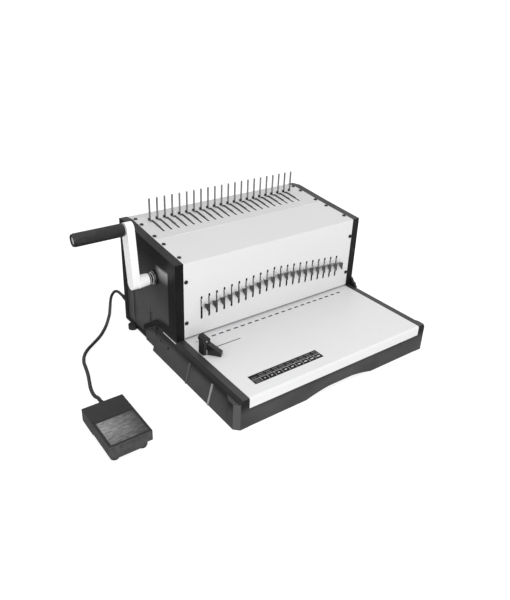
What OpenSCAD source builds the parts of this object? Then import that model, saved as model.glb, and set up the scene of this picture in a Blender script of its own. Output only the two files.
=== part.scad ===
// Electric comb binding machine with a crank-driven comb opener and a foot pedal.
// +X is to the right, +Y to the back, +Z up. The origin is on the surface that the machine
// stands on, under the middle of its base.

/* [Machine] */
// Width of the white sheet covers
cover_w = 349; // [346:0.5:352]
// Overall depth of the base, front to back
base_d = 360; // [356:1:364]
// Height of the tray's top face above the surface
tray_z = 50; // [50:1:52]
// Depth of the tray in front of the tower
tray_d = 175; // [170:1:176]
// Height of the tower's front top edge above the surface
front_top_z = 182; // [181:0.5:183]
// Width of each black side cover
side_w = 14; // [14:0.5:15]
// Thickness of the folded sheet covers
sheet = 1.5; // [1:0.1:1.6]

/* [Combs and holes] */
// Distance from one binding hole to the next
pitch = 14.2875; // [14.2:0.0125:14.3]
// Number of binding holes
holes = 21; // [21:2:21]
// How much higher the middle punch stands than the outer ones
stagger = 14; // [10:0.5:14]
// Stroke of the punch beam
stroke = 20; // [18:0.5:20]
// Height of the paper throat
throat = 2.5; // [2:0.1:3]

/* [Crank] */
// Height of the crank shaft above the surface
crank_z = 134; // [133:0.5:135]
// Distance from the crank shaft's axis to the grip's axis
crank_arm_l = 91; // [85:1:95]
// Radius of the grip
grip_r = 10; // [9:0.5:11]
// Length of the grip
grip_l = 78; // [72:1:84]

/* [Foot pedal] */
// Width of the pedal
pedal_w = 61; // [58:1:64]
// Height of the pedal's top
pedal_top = 30; // [29:0.5:31]

/* [Hidden] */

// Fineness of round surfaces, and of small ones
$fn = 48;
fine = 24;
// Overshoot of a cutting solid past the face that it cuts
cut = 1;
// Running clearance on a shaft's radius
run = 0.05;

// Places across the machine, all measured from the middle
white_x = cover_w / 2;
rail_in_x = 175;
cover_out_x = rail_in_x + side_w;
plate_in_x = 171;
plate_out_x = 174;

// Places along the machine
base_front_y = -base_d / 2;
base_back_y = base_d / 2;
face_y = base_front_y + tray_d;
crease_y = face_y + 85;
ridge_y = face_y + 165;

// Heights
base_z = 1;
lip_z = tray_z - 17;
crease_z = front_top_z + 7.5;
ridge_z = front_top_z + 16;
rear_top_z = ridge_z - 2;
throat_top_z = tray_z + throat;
front_slope = (crease_z - front_top_z) / (crease_y - face_y);
rear_slope = (ridge_z - crease_z) / (ridge_y - crease_y);

// Height of the top of the covers at a distance y along the machine
function top_z(y) = y < crease_y
    ? front_top_z + front_slope * (y - face_y)
    : crease_z + rear_slope * (y - crease_y);

// Comb rows: fixed pins stand between the holes, a hook moves beside each pin
pin_y = 145;
pin_r = 1.6;
pin_top_z = 235;
// Clearance around a pin where it passes the cover
pin_hole_gap = 0.3;
pin_bar_z = 182;
pin_bar_t = 6;
hook_off_x = 2.5;
hook_t = 1.6;
hook_back_y = 141;
hook_front_y = 125;
// The hook's finger points to the front, just above the cover
hook_tip_y = 112;
hook_gap = 0.5;
hook_rise = 2;
// The hook's heel reaches across the front of its pin
heel_w = 3.6;
heel_d = 2.4;
slot_w = 3;
slot_front_y = 101;
slot_back_y = 142;
function pin_x(j) = (j - holes / 2) * pitch;
function hole_x(i) = (i - (holes - 1) / 2) * pitch;
function rise(x) = stagger * (1 - abs(x) / hole_x(holes - 1));

// Front slots: the highest in the middle of the row
front_slot_w = 3.5;
front_slot_l = 41;
front_slot_top = 119.3;

// Crank, pinions and racks
crank_y = 65;
shaft_r = 6;
bush_r = 9;
rack_m = 1.5;
rack_n = 20;
rack_r = rack_m * rack_n / 2;
rack_x = 100;
rack_w = 7;
rack_front_y = 61;
rack_back_y = 133;
carriage_z = 170;
carriage_t = 8;
arm_out_x = -233;
arm_t = 12;
arm_r = 10.5;
// The arm leans outward, so its lower end and hub are closer to the cover
arm_low_x = -228.5;
hub_r = 9.5;
hub_root_r = 11;
// The hub ends in a narrower neck, which runs up to the collar
hub_l = 17.5;
neck_r = 7.5;
grip_z = crank_z + crank_arm_l;
grip_in_x = arm_out_x - 2;
grip_bolt_r = 4;

// Punch
punch_y = 12;
beam_front_y = 6;
beam_back_y = 34;
beam_z = 97;
beam_t = 21;
beam_x = 163;
die_front_y = 1;
die_back_y = 30;
die_z = 38;
die_top_z = 62;
rod_x = 155;
rod_y = 20;
cam_y = 26;
cam_z = 150;
cam_x = 60;
cam_w = 6;
cam_low_r = 8;
follower_r = 2;
follower_gap = 0.8;
follower_z = cam_z - cam_low_r - follower_gap - follower_r;
gear_m = 1.25;
gear_n = 40;
pinion_n = 20;
gear_x = 177;
gear_w = 5;
gear_slack = 0.12;
motor_y = cam_y + gear_m * (gear_n + pinion_n) / 2;
motor_r = 24;
motor_x = 112;

// Chip drawer
drawer_x = 141;
drawer_z = 8;
drawer_top_z = 30;
drawer_front_y = 2;

// Edge guide
guide_x = -167;
guide_y = -50;
guide_line_y = -47.5;

// Pedal, and the route of its cord
pedal_x = -335.5;
pedal_back_y = -52;
pedal_split_y = -88;
pedal_front_y = -143;
pedal_base_top = 10;
hinge_y = -94;
hinge_z = 16;
hinge_r = 2;
cord_r = 2.75;
gland_x = -181;
gland_z = 34;
gland_end_y = 204;
relief_x = -330;
relief_z = 14;
relief_end_y = -33;
cord_route = [
    [-181, 204, 34], [-181, 216, 34], [-181, 228, 33], [-181.5, 239, 29], [-183, 247, 22],
    [-186, 250, 13.5], [-190, 246, 6.5], [-195, 237, 3.3], [-201, 225, 3], [-208, 211, 3],
    [-217, 196, 3], [-228, 179, 3], [-241, 162, 3], [-256, 146, 3], [-272, 133, 3],
    [-287, 121, 3], [-299, 107, 3], [-307, 90, 3], [-311, 72, 3], [-315, 54, 3],
    [-320, 37, 3], [-325, 20, 3], [-328, 4, 4.5], [-329.5, -10, 8.5], [-330, -23, 14],
    [-330, -33, 14]];

// ---- helpers ----

// A bar along X from x0 to x1
module x_cyl(x0, x1, y, z, r) {
    translate([x0, y, z]) rotate([0, 90, 0]) cylinder(r = r, h = x1 - x0);
}

// A bar along Y from y0 to y1
module y_cyl(x, y0, y1, z, r) {
    translate([x, y1, z]) rotate([90, 0, 0]) cylinder(r = r, h = y1 - y0);
}

module box(lo, hi) {
    translate(lo) cube(hi - lo);
}

// A block with round vertical corners
module round_block(lo, hi, r) {
    box([lo[0] + r, lo[1], lo[2]], [hi[0] - r, hi[1], hi[2]]);
    box([lo[0], lo[1] + r, lo[2]], [hi[0], hi[1] - r, hi[2]]);
    for (x = [lo[0] + r, hi[0] - r], y = [lo[1] + r, hi[1] - r])
        translate([x, y, lo[2]]) cylinder(r = r, h = hi[2] - lo[2], $fn = fine);
}

// Extrudes an outline drawn in Y and Z from x0 to x1
module yz_plate(x0, x1) {
    translate([x0, 0, 0]) rotate([90, 0, 90]) linear_extrude(height = x1 - x0) children();
}

// Extrudes an outline drawn in X and Z from y0 to y1
module xz_plate(y0, y1) {
    translate([0, y1, 0]) rotate([90, 0, 0]) linear_extrude(height = y1 - y0) children();
}

module left_and_right() {
    children();
    mirror([1, 0, 0]) children();
}

// Involute gear outline around the origin
gear_angle = 20;
flank_steps = 6;
function involute(rb, a) = rb * [cos(a) + a * PI / 180 * sin(a), sin(a) - a * PI / 180 * cos(a)];
function turn(p, a) = [p[0] * cos(a) - p[1] * sin(a), p[0] * sin(a) + p[1] * cos(a)];
function roll(rb, r) = r <= rb ? 0 : sqrt(pow(r / rb, 2) - 1) * 180 / PI;
function gear_points(m, n, slack) =
    let (r = m * n / 2,
         rb = r * cos(gear_angle),
         tip = r + 0.9 * m,
         root = r - 1.25 * m,
         inv = tan(gear_angle) * 180 / PI - gear_angle,
         half = 90 / n + inv - slack / r * 180 / PI)
    [for (k = [0:n - 1])
        for (p = concat(
            [turn([root, 0], -half)],
            [for (s = [0:flank_steps]) turn(involute(rb, roll(rb, tip) * s / flank_steps), -half)],
            [for (s = [flank_steps:-1:0])
                let (q = involute(rb, roll(rb, tip) * s / flank_steps)) turn([q[0], -q[1]], half)],
            [turn([root, 0], half)])) turn(p, k * 360 / n)];

// ---- base ----

// The rail's foot stands out past the cover, up to a step in front of its slanted back end
rail_low_z = base_z - 0.5;
rail_step_y = 63;
module rail() {
    difference() {
        union() {
            xz_plate(base_front_y, rail_step_y) polygon([
                [rail_in_x, tray_z], [186, tray_z], [190, tray_z - 5], [190, tray_z - 13],
                [187.5, tray_z - 15], [197, rail_low_z], [194, rail_low_z], [184.5, lip_z],
                [rail_in_x, lip_z]]);
            xz_plate(rail_step_y, base_back_y - 80) polygon([
                [rail_in_x, tray_z], [186, tray_z], [190, tray_z - 5], [190, rail_low_z],
                [186.5, rail_low_z], [184.5, lip_z], [rail_in_x, lip_z]]);
            xz_plate(base_front_y, base_front_y + 3.5) polygon([
                [rail_in_x, lip_z], [185, lip_z], [194, rail_low_z], [rail_in_x, rail_low_z]]);
            for (y = [-108, -45])
                xz_plate(y - 1, y + 1) polygon([
                    [186, tray_z - 14], [190, tray_z - 14], [198.5, rail_low_z], [194, rail_low_z]]);
            // Corner post that the wall runs out to
            translate([0, 0, rail_low_z]) linear_extrude(tray_z - 6 - rail_low_z) polygon([
                [183, base_front_y], [197, base_front_y], [197, -160], [190, -147], [183, -147]]);
        }
        // The tower's side cover slants down past the rail's back end
        yz_plate(rail_in_x - cut, 200)
            polygon([[58, tray_z + cut], [102, tray_z + cut], [102, 18], [100, 20]]);
        // Slanted front corner
        translate([196.5, base_front_y, -cut]) rotate([0, 0, 45])
            translate([-20, -20, 0]) cube([40, 20 + 5, tray_z + 2 * cut]);
    }
}

module base_left_rail() {
    color([0.06, 0.06, 0.065]) mirror([1, 0, 0]) rail();
}

module base_right_rail() {
    color([0.06, 0.06, 0.065]) rail();
}

// Front apron with a shallow finger arch
arch_w = 136;
arch_h = 9.5;
arch_r = (pow(arch_w / 2, 2) + pow(arch_h, 2)) / (2 * arch_h);
module base_front_panel() {
    color([0.06, 0.06, 0.065]) difference() {
        box([-rail_in_x, base_front_y, base_z], [rail_in_x, base_front_y + 3.5, lip_z]);
        y_cyl(0, base_front_y - cut, base_front_y + 5, base_z + arch_h - arch_r, arch_r, $fn = 180);
    }
}

module bottom_plate() {
    color([0.35, 0.36, 0.37]) box([-174, base_front_y + 4, 5], [174, base_back_y - 3, 6.5]);
}

module chassis_shelf() {
    color([0.45, 0.46, 0.47])
        box([-plate_in_x, die_back_y + 1, drawer_top_z + 4], [plate_in_x, base_back_y - 4, drawer_top_z + 6]);
}

module back_panel() {
    color([0.86, 0.86, 0.87]) difference() {
        box([-white_x, base_back_y - sheet, 7], [white_x, base_back_y, rear_top_z - 14.8]);
        box([-drawer_x - 1, base_back_y - 3, 7.5], [drawer_x + 1, base_back_y + cut, drawer_top_z + 1]);
        box([118.5, base_back_y - 3, 44.5], [147.5, base_back_y + cut, 65.5]);
        box([84, base_back_y - 3, 44], [104, base_back_y + cut, 68]);
        for (x = [-60:12:60])
            box([x - 1.5, base_back_y - 3, 90], [x + 1.5, base_back_y + cut, 125]);
    }
}

module paper_tray() {
    bend = 3;
    color([0.9, 0.9, 0.91]) difference() {
        union() {
            box([-white_x, base_front_y + bend, tray_z - sheet], [white_x, 0, tray_z]);
            box([-white_x, base_front_y, lip_z], [white_x, base_front_y + sheet, tray_z - bend]);
            intersection() {
                difference() {
                    x_cyl(-white_x, white_x, base_front_y + bend, tray_z - bend, bend);
                    x_cyl(-white_x - cut, white_x + cut, base_front_y + bend, tray_z - bend, bend - sheet);
                }
                box([-white_x, base_front_y - cut, tray_z - bend],
                    [white_x, base_front_y + bend, tray_z + cut]);
            }
        }
        // Slot in which the edge guide slides
        box([guide_x - 4, guide_line_y - 1.5, tray_z - 3], [-97, guide_line_y + 1.5, tray_z + cut]);
    }
}

module size_chart() {
    color([0.1, 0.1, 0.1]) box([-149, -158.7, tray_z], [-20, -138.5, tray_z + 0.3]);
}

// Printed dashes that show where the holes will come
mark_y = -18.6;
mark_w = 8;
mark_d = 2.6;
print_t = 0.2;
module hole_marks() {
    color([0.1, 0.1, 0.1])
        for (i = [0:holes - 1])
            box([hole_x(i) - mark_w / 2, mark_y - mark_d / 2, tray_z],
                [hole_x(i) + mark_w / 2, mark_y + mark_d / 2, tray_z + print_t]);
}

// The back feet stand out past the side covers, as knobs for levelling
knob_x = 192.5;
knob_y = 146;
module rubber_feet() {
    color([0.04, 0.04, 0.04]) {
        // Two under the tray, and one in the middle that carries the base under the punch
        for (p = [[-164, -160], [164, -160], [0, 0]])
            translate([p[0], p[1], 0]) cylinder(r = 9, h = 5);
        left_and_right() difference() {
            translate([knob_x, knob_y, 0]) cylinder(r = 8, h = 8);
            box([cover_out_x - 20, knob_y - 20, 2.3], [cover_out_x + 0.3, knob_y + 20, 9]);
        }
    }
}

// ---- tower covers ----

function side_outline() = [
    [face_y, tray_z + 0.3], [face_y, front_top_z], [crease_y, crease_z], [ridge_y, ridge_z],
    [base_back_y + 1.5, rear_top_z], [base_back_y + 1.5, 2.5], [101, 2.5], [101, 20.6],
    [58.6, tray_z + 0.3]];
function side_pocket() = [
    [face_y + 3, tray_z + 3.3], [face_y + 3, front_top_z - 2.8], [crease_y, crease_z - 3],
    [ridge_y, ridge_z - 3], [base_back_y - 1.5, rear_top_z - 3], [base_back_y - 1.5, 5.5],
    [104, 5.5], [104, 22.5], [60, tray_z + 3.3]];
function side_recess() = [
    [18, tray_z + 14], [18, front_top_z - 12], [crease_y, crease_z - 14],
    [168, ridge_z - 14], [168, 10], [110, 10], [110, 24], [63, tray_z + 8], [40, tray_z + 14]];

module side_shell() {
    difference() {
        union() {
            difference() {
                yz_plate(rail_in_x, cover_out_x) polygon(side_outline());
                yz_plate(rail_in_x - cut, cover_out_x - 5.5) polygon(side_pocket());
                yz_plate(cover_out_x - 3, cover_out_x + cut) polygon(side_recess());
            }
            // Thin upright ribs on the recessed face
            box([cover_out_x - 3.5, 144, 20], [cover_out_x - 1, 146, 76]);
            box([cover_out_x - 3.5, 84, 45], [cover_out_x - 1, 86, 60]);
        }
    }
}

module left_side_cover() {
    color([0.06, 0.06, 0.065]) difference() {
        mirror([1, 0, 0]) side_shell();
        x_cyl(-cover_out_x - cut, -rail_in_x + cut, crank_y, crank_z, 8);
        y_cyl(gland_x, base_back_y - 3, base_back_y + 3, gland_z, 4.2);
    }
}

// Lug in front of the right cover that steadies it on the rail
lug_t = 4.5;
lug_l = 18;
lug_h = 15;
module right_side_cover() {
    foot_z = tray_z + 0.3;
    color([0.06, 0.06, 0.065]) {
        side_shell();
        yz_plate(cover_out_x - lug_t, cover_out_x) polygon([
            [face_y, foot_z], [face_y, foot_z + lug_h], [face_y - 3, foot_z + lug_h - 0.5],
            [face_y - 8, foot_z + 8], [face_y - 12.5, foot_z + 6.5], [face_y - 13.5, foot_z + 2.5],
            [face_y - lug_l, foot_z]]);
    }
}

module front_slot(i) {
    low = front_slot_top + rise(hole_x(i)) - front_slot_l + front_slot_w / 2;
    high = front_slot_top + rise(hole_x(i)) - front_slot_w / 2;
    box([hole_x(i) - front_slot_w / 2, face_y - cut, low], [hole_x(i) + front_slot_w / 2, face_y + 3, high]);
    y_cyl(hole_x(i), face_y - cut, face_y + 3, low, front_slot_w / 2, $fn = fine);
    y_cyl(hole_x(i), face_y - cut, face_y + 3, high, front_slot_w / 2, $fn = fine);
}

module front_cover() {
    color([0.92, 0.92, 0.93]) difference() {
        yz_plate(-white_x, white_x) polygon([
            [face_y, throat_top_z + 0.5], [face_y, front_top_z], [crease_y, crease_z],
            [crease_y, crease_z - sheet], [face_y + sheet, front_top_z - sheet],
            [face_y + sheet, throat_top_z + 0.5]]);
        for (i = [0:holes - 1]) front_slot(i);
    }
}

module rear_cover() {
    color([0.9, 0.9, 0.91]) difference() {
        yz_plate(-white_x, white_x) polygon([
            [crease_y + 0.3, crease_z], [ridge_y, ridge_z], [base_back_y, rear_top_z],
            [base_back_y, rear_top_z - 14.5], [base_back_y - sheet, rear_top_z - 14.5],
            [base_back_y - sheet, rear_top_z - sheet], [ridge_y, ridge_z - sheet],
            [crease_y + 0.3, crease_z - sheet]]);
        for (i = [0:holes - 1])
            box([pin_x(i) + hook_off_x - slot_w / 2, slot_front_y, crease_z - 5],
                [pin_x(i) + hook_off_x + slot_w / 2, slot_back_y, ridge_z + 5]);
        for (j = [0:holes])
            translate([pin_x(j), pin_y, crease_z - 5]) cylinder(r = pin_r + pin_hole_gap, h = 20, $fn = fine);
    }
}

screw_r = 3.2;
screw_h = 1.8;
module top_screw(x, y) {
    slope = y < crease_y ? front_slope : rear_slope;
    translate([x, y, top_z(y)]) rotate([atan(slope), 0, 0]) cylinder(r = screw_r, h = screw_h, $fn = fine);
}

module cover_screws() {
    color([0.1, 0.1, 0.1]) left_and_right() {
        for (y = [14.5, 62, 92, 136, 158]) top_screw(170, y);
        for (z = [79.5, 151]) y_cyl(170.5, face_y - screw_h, face_y, z, screw_r, $fn = fine);
    }
}

// ---- frame ----

module frame_plate() {
    difference() {
        yz_plate(plate_in_x, plate_out_x) polygon([
            [die_front_y + 1, 36], [die_front_y + 1, 176], [80, 182.5], [165, 192], [165, 36]]);
        x_cyl(plate_in_x - cut, plate_out_x + cut, crank_y, crank_z, bush_r);
        x_cyl(plate_in_x - cut, plate_out_x + cut, cam_y, cam_z, bush_r);
        x_cyl(plate_in_x - cut, plate_out_x + cut, motor_y, cam_z, 8);
        // Guide slot of the hook carriage
        box([plate_in_x - cut, 108, carriage_z + 0.8], [plate_out_x + cut, 133, carriage_z + 7.2]);
        x_cyl(plate_in_x - cut, plate_out_x + cut, 108, carriage_z + 4, 3.2);
        x_cyl(plate_in_x - cut, plate_out_x + cut, 133, carriage_z + 4, 3.2);
        // Lightening window
        box([plate_in_x - cut, 95, 75], [plate_out_x + cut, 145, 145]);
    }
}

module left_frame_plate() {
    color([0.6, 0.61, 0.62]) mirror([1, 0, 0]) frame_plate();
}

module right_frame_plate() {
    color([0.6, 0.61, 0.62]) frame_plate();
}

module tie_bars() {
    color([0.7, 0.7, 0.71])
        for (p = [[158, 88], [158, 130], [85, 60]]) x_cyl(-plate_in_x, plate_in_x, p[0], p[1], 5);
}

module pin_bar() {
    color([0.7, 0.7, 0.71])
        box([-plate_in_x, pin_y - 1.9, pin_bar_z], [plate_in_x, pin_y + 11, pin_bar_z + pin_bar_t]);
}

module comb_pins() {
    foot = pin_bar_z + pin_bar_t;
    color([0.62, 0.62, 0.63])
        for (j = [0:holes]) translate([pin_x(j), pin_y, foot]) {
            cylinder(r = pin_r, h = pin_top_z - foot - pin_r, $fn = fine);
            translate([0, 0, pin_top_z - foot - pin_r]) sphere(r = pin_r, $fn = fine);
        }
}

// ---- comb opener ----

module hook_carriage() {
    color([0.6, 0.6, 0.62]) {
        box([-168, hook_front_y, carriage_z], [168, hook_back_y, carriage_z + carriage_t]);
        left_and_right() {
            x_cyl(167, plate_out_x, 133, carriage_z + 4, 3);
            box([rack_x - rack_w / 2, rack_back_y - 8, crank_z + rack_r + 8],
                [rack_x + rack_w / 2, rack_back_y, carriage_z]);
        }
    }
}

rack_slack = 0.25;
module rack_outline() {
    line_z = crank_z + rack_r;
    half = PI * rack_m / 4 - rack_slack;
    lean = tan(gear_angle);
    difference() {
        polygon([[rack_front_y, line_z - 0.9 * rack_m], [rack_back_y, line_z - 0.9 * rack_m],
            [rack_back_y, line_z + 8], [rack_front_y, line_z + 8]]);
        // Gaps between the teeth, the pinion's own tooth standing in the one above the shaft
        for (k = [-2:7]) translate([crank_y + k * PI * rack_m, line_z])
            polygon([[-half - lean * 1.5 * rack_m - 2 * rack_slack, -1.5 * rack_m],
                [half + lean * 1.5 * rack_m + 2 * rack_slack, -1.5 * rack_m],
                [half - lean * 1.25 * rack_m + 2 * rack_slack, 1.25 * rack_m],
                [-half + lean * 1.25 * rack_m - 2 * rack_slack, 1.25 * rack_m]]);
    }
}

module carriage_racks() {
    color([0.5, 0.5, 0.52]) left_and_right()
        yz_plate(rack_x - rack_w / 2, rack_x + rack_w / 2) rack_outline();
}

module comb_hook() {
    deck = carriage_z + carriage_t;
    yz_plate(-hook_t / 2, hook_t / 2) polygon([
        [hook_front_y, deck], [hook_back_y, deck], [hook_back_y, top_z(hook_back_y) + hook_rise],
        [hook_tip_y + 2, top_z(hook_tip_y + 2) + hook_rise], [hook_tip_y, top_z(hook_tip_y) + 2 * hook_gap],
        [hook_tip_y, top_z(hook_tip_y) + hook_gap], [hook_front_y, top_z(hook_front_y) + hook_gap]]);
    box([-hook_t / 2 - heel_w, hook_back_y - heel_d, top_z(hook_back_y) + hook_gap],
        [0, hook_back_y, top_z(hook_back_y) + hook_rise]);
}

module comb_hooks() {
    color([0.66, 0.66, 0.67])
        for (i = [0:holes - 1]) translate([pin_x(i) + hook_off_x, 0, 0]) comb_hook();
}

module crank_shaft() {
    color([0.72, 0.72, 0.73]) x_cyl(arm_low_x + arm_t, 109, crank_y, crank_z, shaft_r);
}

module crank_pinions() {
    color([0.5, 0.5, 0.52]) left_and_right() difference() {
        translate([0, crank_y, crank_z]) yz_plate(rack_x - rack_w / 2, rack_x + rack_w / 2)
            rotate(90) polygon(gear_points(rack_m, rack_n, rack_slack));
        x_cyl(rack_x - rack_w, rack_x + rack_w, crank_y, crank_z, shaft_r);
    }
}

// Flanged bush with its bore along X
module bush(x0, x1, y, z) {
    difference() {
        x_cyl(x0, x1, y, z, bush_r);
        x_cyl(x0 - cut, x1 + cut, y, z, shaft_r + run);
    }
}

module shaft_bushes() {
    color([0.75, 0.6, 0.35]) {
        bush(-plate_out_x, -plate_in_x, crank_y, crank_z);
        bush(-plate_out_x, -plate_in_x, cam_y, cam_z);
        bush(plate_in_x, plate_out_x, cam_y, cam_z);
    }
}

module shaft_bracket() {
    color([0.6, 0.61, 0.62]) difference() {
        union() {
            box([104.5, 52, drawer_top_z + 6], [108.5, 78, crank_z]);
            x_cyl(104.5, 108.5, crank_y, crank_z, 13);
            box([104.5, 52, drawer_top_z + 6], [125, 78, drawer_top_z + 9]);
        }
        x_cyl(104.5 - cut, 108.5 + cut, crank_y, crank_z, shaft_r + run);
    }
}

module crank_collar() {
    color([0.1, 0.1, 0.1]) difference() {
        x_cyl(-cover_out_x - 1, -cover_out_x + 3, crank_y, crank_z, 12);
        x_cyl(-cover_out_x - 3, -cover_out_x + 6, crank_y, crank_z, shaft_r + 0.4);
    }
}

module crank_arm() {
    color([0.95, 0.95, 0.95]) difference() {
        union() {
            x_cyl(arm_low_x, arm_low_x + arm_t, crank_y, crank_z, arm_r);
            x_cyl(arm_out_x, arm_out_x + arm_t, crank_y, grip_z, arm_r);
            xz_plate(crank_y - arm_r, crank_y + arm_r) polygon([
                [arm_low_x, crank_z], [arm_low_x + arm_t, crank_z], [arm_out_x + arm_t, grip_z],
                [arm_out_x, grip_z]]);
            translate([arm_low_x + arm_t, crank_y, crank_z]) rotate([0, 90, 0])
                cylinder(r1 = hub_root_r, r2 = hub_r, h = hub_l);
            x_cyl(arm_low_x + arm_t, -cover_out_x - 1.3, crank_y, crank_z, neck_r);
        }
        x_cyl(arm_low_x + arm_t, -cover_out_x, crank_y, crank_z, shaft_r);
        x_cyl(arm_out_x - cut, arm_out_x + arm_t + cut, crank_y, grip_z, grip_bolt_r);
    }
}

module grip_bolt() {
    color([0.7, 0.7, 0.71]) {
        x_cyl(grip_in_x - grip_l + 5, arm_out_x + arm_t, crank_y, grip_z, grip_bolt_r);
        x_cyl(grip_in_x - grip_l + 1.7, grip_in_x - grip_l + 5, crank_y, grip_z, 6);
        x_cyl(grip_in_x + 0.3, arm_out_x, crank_y, grip_z, 6.5);
    }
}

module crank_grip() {
    color([0.07, 0.07, 0.07]) difference() {
        union() {
            x_cyl(grip_in_x - grip_l + 2, grip_in_x, crank_y, grip_z, grip_r);
            x_cyl(grip_in_x - grip_l, grip_in_x - grip_l + 2, crank_y, grip_z, grip_r - 1);
        }
        x_cyl(grip_in_x - grip_l - cut, grip_in_x + cut, crank_y, grip_z, grip_bolt_r + run);
        x_cyl(grip_in_x - grip_l - cut, grip_in_x - grip_l + 5.3, crank_y, grip_z, 7);
    }
}

// ---- punch ----

pin_w = 8;
pin_t = 3;
pin_gap = 0.2;
module die_block() {
    color([0.55, 0.56, 0.58]) difference() {
        box([-plate_in_x, die_front_y, die_z], [plate_in_x, die_back_y, die_top_z]);
        box([-160, die_front_y - cut, tray_z], [160, 22, throat_top_z]);
        for (i = [0:holes - 1])
            box([hole_x(i) - pin_w / 2 - pin_gap, punch_y - pin_t / 2 - pin_gap, die_z - cut],
                [hole_x(i) + pin_w / 2 + pin_gap, punch_y + pin_t / 2 + pin_gap, die_top_z + cut]);
    }
}

module guide_rods() {
    color([0.75, 0.75, 0.76])
        for (x = [-rod_x, rod_x]) translate([x, rod_y, die_top_z]) cylinder(r = shaft_r, h = 72);
}

// Strip of a pull, which slides in the beam
shank_low = 102;
shank_high = 115;
shank_t = 1.6;
shank_back_y = 16;
module punch_beam() {
    end_x = hole_x(holes - 1);
    color([0.5, 0.51, 0.53]) difference() {
        union() {
            xz_plate(beam_front_y, beam_back_y) polygon([
                [-beam_x, beam_z], [-end_x, beam_z], [0, beam_z + stagger], [end_x, beam_z],
                [beam_x, beam_z], [beam_x, beam_z + beam_t], [end_x, beam_z + beam_t],
                [0, beam_z + beam_t + stagger], [-end_x, beam_z + beam_t], [-beam_x, beam_z + beam_t]]);
            for (x = [-cam_x, cam_x]) {
                box([x - 3.5, cam_y - follower_r, beam_z + beam_t],
                    [x + 3.5, cam_y + follower_r, follower_z]);
                x_cyl(x - 3.5, x + 3.5, cam_y, follower_z, follower_r);
            }
        }
        for (x = [-rod_x, rod_x])
            translate([x, rod_y, beam_z - cut]) cylinder(r = shaft_r + run, h = beam_t + 2 * cut);
        for (i = [0:holes - 1]) {
            up = rise(hole_x(i));
            box([hole_x(i) - shank_t / 2 - 0.4, beam_front_y - cut, shank_low + up - 0.4],
                [hole_x(i) + shank_t / 2 + 0.4, 24, shank_high + up + 0.4]);
            box([hole_x(i) - pin_w / 2 - 0.1, punch_y - pin_t / 2 - 0.1, beam_z + up - 2],
                [hole_x(i) + pin_w / 2 + 0.1, punch_y + pin_t / 2 + 0.1, beam_z + up + 3]);
        }
    }
}

module punch_pins() {
    color([0.7, 0.7, 0.72])
        for (i = [0:holes - 1]) {
            up = rise(hole_x(i));
            box([hole_x(i) - pin_w / 2, punch_y - pin_t / 2, throat_top_z + 1 + up],
                [hole_x(i) + pin_w / 2, punch_y + pin_t / 2, beam_z + 2.5 + up]);
        }
}

// Each pull is a steel strip through the front slot, whose end is bent to the right as a finger fin
tab_w = 10.6;
tab_t = 1.4;
tab_l = 15.5;
tab_out = 5;
tab_lean = 12;
module pull() {
    yz_plate(-shank_t / 2, shank_t / 2) polygon([
        [shank_back_y, shank_low], [shank_back_y, shank_high], [face_y - 1, shank_high],
        [face_y - tab_out - 0.7, shank_high - 8], [face_y - tab_out - 1.5, shank_low + 2],
        [face_y - 3, shank_low]]);
    // The fin leans out towards its narrow lower end
    translate([0, face_y - tab_out, shank_high - 7]) rotate([90 - tab_lean, 0, 0])
        linear_extrude(tab_t) polygon([
            [-shank_t / 2, 0], [2.2, -0.4], [tab_w, -2.4], [tab_w + 0.4, -4], [tab_w - 0.8, -11],
            [tab_w - 2, -tab_l], [tab_w - 3.6, -tab_l + 0.6], [3, -7.5], [-shank_t / 2, -5]]);
}

module punch_pulls() {
    color([0.75, 0.75, 0.76])
        for (i = [0:holes - 1]) translate([hole_x(i), 0, rise(hole_x(i))]) pull();
}

module coil(x, y, z0, z1, r, wire, rings) {
    step = (z1 - z0 - 2 * wire) / (rings - 1);
    for (k = [0:rings - 1])
        translate([x, y, z0 + wire + k * step])
            rotate_extrude($fn = fine) translate([r, 0]) circle(r = wire, $fn = 16);
}

module return_springs() {
    color([0.6, 0.6, 0.6])
        for (x = [-rod_x, rod_x]) coil(x, rod_y, die_top_z, beam_z, 8, 0.9, 9);
}

module cam_shaft() {
    color([0.72, 0.72, 0.73]) x_cyl(-plate_out_x, gear_x + gear_w, cam_y, cam_z, shaft_r);
}

// Heart-shaped cam: its radius grows evenly over half a turn and shrinks evenly over the other
function cam_radius(a) = cam_low_r + stroke * abs(a) / 180;
module drive_cams() {
    color([0.55, 0.55, 0.57])
        for (x = [-cam_x, cam_x]) difference() {
            translate([0, cam_y, cam_z]) yz_plate(x - cam_w / 2, x + cam_w / 2)
                polygon([for (a = [-180:5:175]) cam_radius(a) * [-sin(a), -cos(a)]]);
            x_cyl(x - cam_w, x + cam_w, cam_y, cam_z, shaft_r);
        }
}

module drive_gear() {
    color([0.55, 0.55, 0.57]) difference() {
        translate([0, cam_y, cam_z]) yz_plate(gear_x, gear_x + gear_w)
            polygon(gear_points(gear_m, gear_n, gear_slack));
        x_cyl(gear_x - cut, gear_x + gear_w + cut, cam_y, cam_z, shaft_r);
    }
}

module drive_motor() {
    color([0.3, 0.31, 0.33]) {
        x_cyl(motor_x, plate_in_x, motor_y, cam_z, motor_r);
        x_cyl(motor_x - 3, motor_x, motor_y, cam_z, 9);
    }
}

module motor_pinion() {
    color([0.6, 0.6, 0.62]) {
        x_cyl(plate_in_x, gear_x, motor_y, cam_z, 4);
        translate([0, motor_y, cam_z]) yz_plate(gear_x, gear_x + gear_w)
            rotate(180 / pinion_n) polygon(gear_points(gear_m, pinion_n, gear_slack));
    }
}

// ---- electrics ----

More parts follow.
